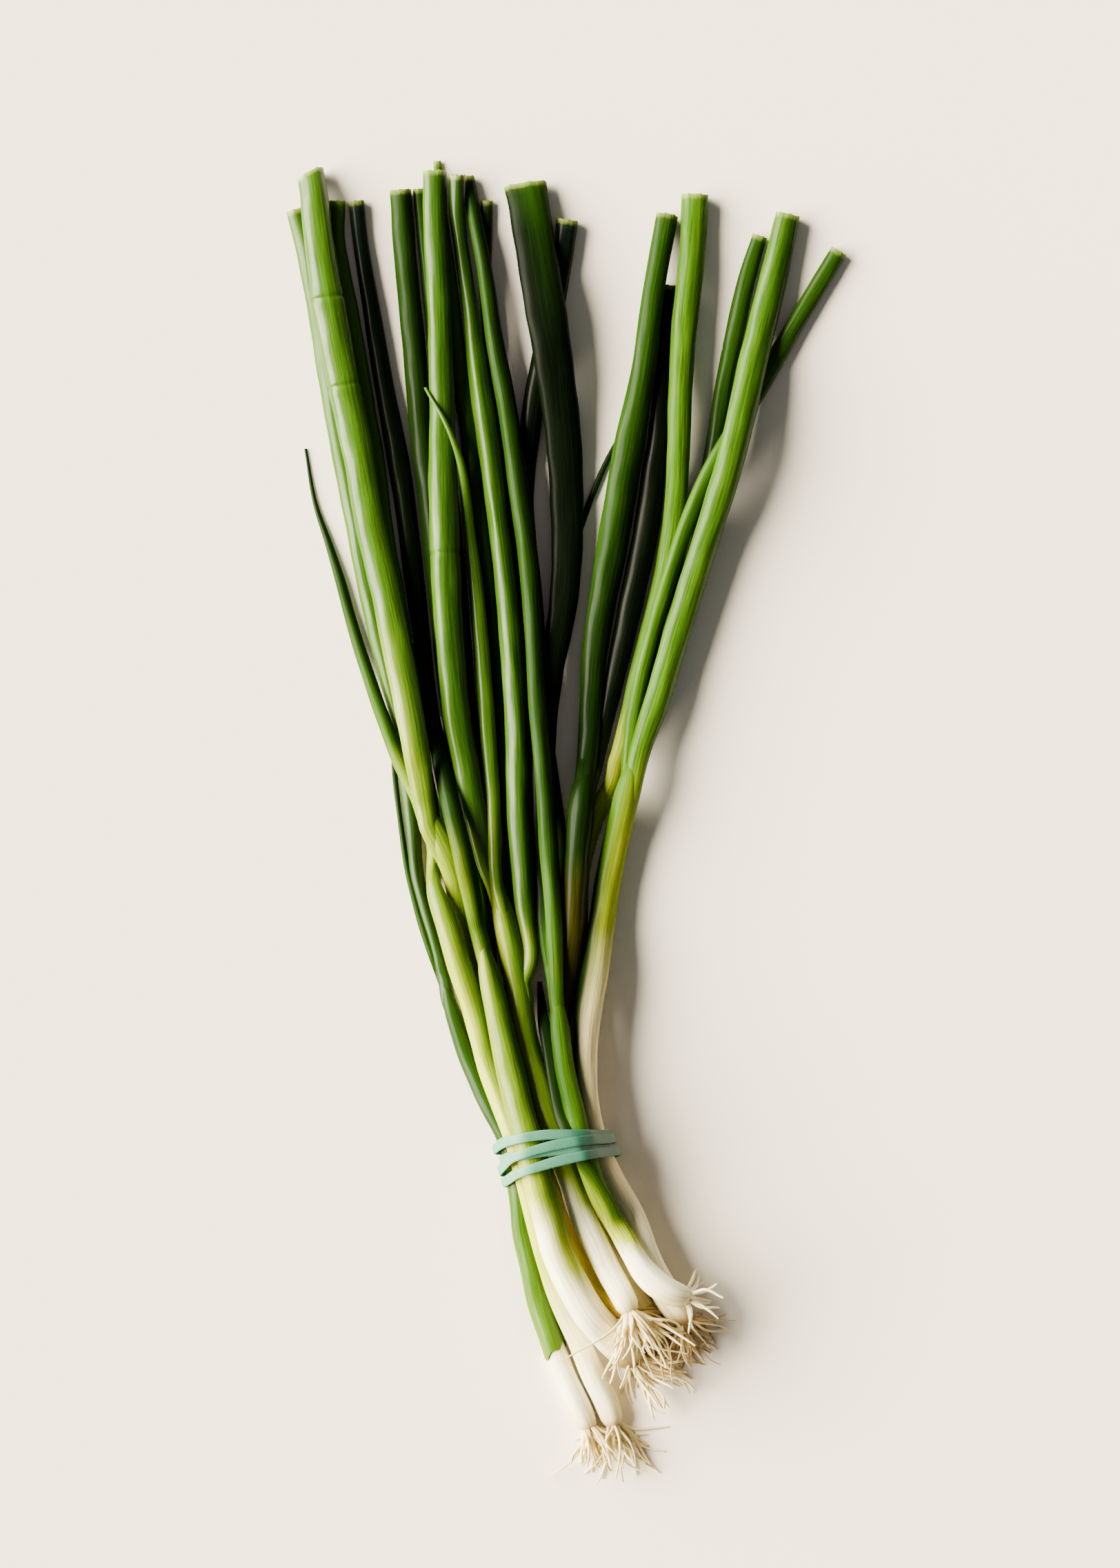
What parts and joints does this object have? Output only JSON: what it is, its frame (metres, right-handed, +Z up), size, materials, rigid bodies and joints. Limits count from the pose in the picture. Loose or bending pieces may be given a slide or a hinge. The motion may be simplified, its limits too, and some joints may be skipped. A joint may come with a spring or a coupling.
{
  "type": "scallion bunch",
  "caption": "Bunch of scallions with bulbs, roots and hollow green leaves, tied by a flat rubber band, lying down.",
  "frame": {"origin": "under the middle of the bunch's bounding box, on the surface it lies on", "axes": "+Y from the roots to the cut leaf tops, +Z up from the surface, +X across the bunch"},
  "size_m": [0.1538, 0.358, 0.0247],
  "materials": {
    "scallion": "waxy satin leaf",
    "rubber_band": "matt teal rubber"
  },
  "bodies": {
    "root": {"scallion_1": "scallion", "scallion_2": "scallion", "scallion_3": "scallion", "scallion_4": "scallion", "scallion_5": "scallion", "scallion_6": "scallion", "scallion_7": "scallion", "scallion_8": "scallion", "scallion_9": "scallion", "rubber_band": "rubber_band"}
  },
  "joints": []
}
